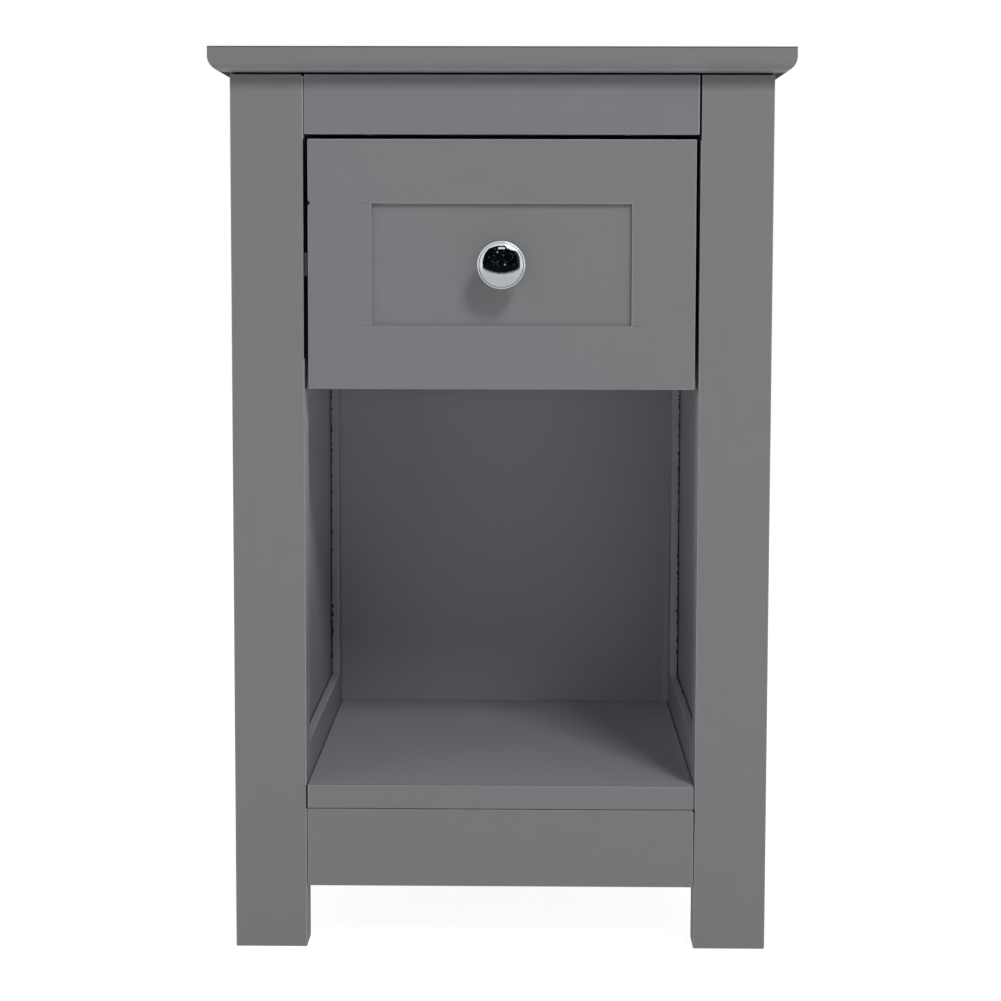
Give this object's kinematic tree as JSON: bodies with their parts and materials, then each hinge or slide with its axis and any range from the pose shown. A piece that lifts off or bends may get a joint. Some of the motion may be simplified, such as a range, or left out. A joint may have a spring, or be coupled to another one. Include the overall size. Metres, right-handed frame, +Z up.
{
  "type": "nightstand",
  "caption": "Small painted wooden nightstand with framed sides, a shallow drawer with a sunk front panel and round knob, and an open shelf below.",
  "frame": {"origin": "on the floor, under the middle of the outer box, which reaches from the knob's front to the back of the legs", "axes": "+Z up, the drawer front faces -Y, +X to the right as seen from the front"},
  "size_m": [0.382, 0.313, 0.6],
  "materials": {
    "painted_wood": "sprayed mid-grey satin paint on solid wood or MDF",
    "painted_board": "thin fibreboard, painted mid grey inside",
    "bare_wood": "bare light wood, sanded and clear lacquered",
    "zinc_steel": "zinc-plated steel",
    "polished_metal": "polished chrome plate"
  },
  "bodies": {
    "carcass": {"top_board": "painted_wood", "front_leg_left": "painted_wood", "front_leg_right": "painted_wood", "back_leg_left": "painted_wood", "back_leg_right": "painted_wood", "top_side_rail_left": "painted_wood", "top_side_rail_right": "painted_wood", "low_side_rail_left": "painted_wood", "low_side_rail_right": "painted_wood", "side_panel_left": "painted_wood", "side_panel_right": "painted_wood", "top_front_rail": "painted_wood", "top_back_rail": "painted_wood", "front_apron": "painted_wood", "low_back_rail": "painted_wood", "shelf": "painted_wood", "back_panel": "painted_board", "drawer_runner_left": "painted_wood", "drawer_runner_right": "painted_wood", "side_rail_dowels": "bare_wood", "cross_rail_dowels": "bare_wood", "shelf_dowels": "bare_wood", "top_screws": "zinc_steel", "runner_screws": "zinc_steel", "back_panel_pins": "zinc_steel"},
    "drawer": {"drawer_front_top_rail": "painted_wood", "drawer_front_low_rail": "painted_wood", "drawer_front_stile_left": "painted_wood", "drawer_front_stile_right": "painted_wood", "drawer_front_panel": "painted_wood", "drawer_side_left": "bare_wood", "drawer_side_right": "bare_wood", "drawer_back": "bare_wood", "drawer_bottom": "bare_wood", "drawer_front_dowels": "bare_wood", "drawer_back_screws": "zinc_steel", "drawer_bottom_pins": "zinc_steel", "drawer_stop_pegs": "bare_wood", "knob": "polished_metal", "knob_screw": "zinc_steel"}
  },
  "joints": [
    {"name": "drawer_slide", "type": "slide", "parent": "carcass", "child": "drawer", "axis": [0, -1, 0], "range_m": [0, 0.19]}
  ]
}
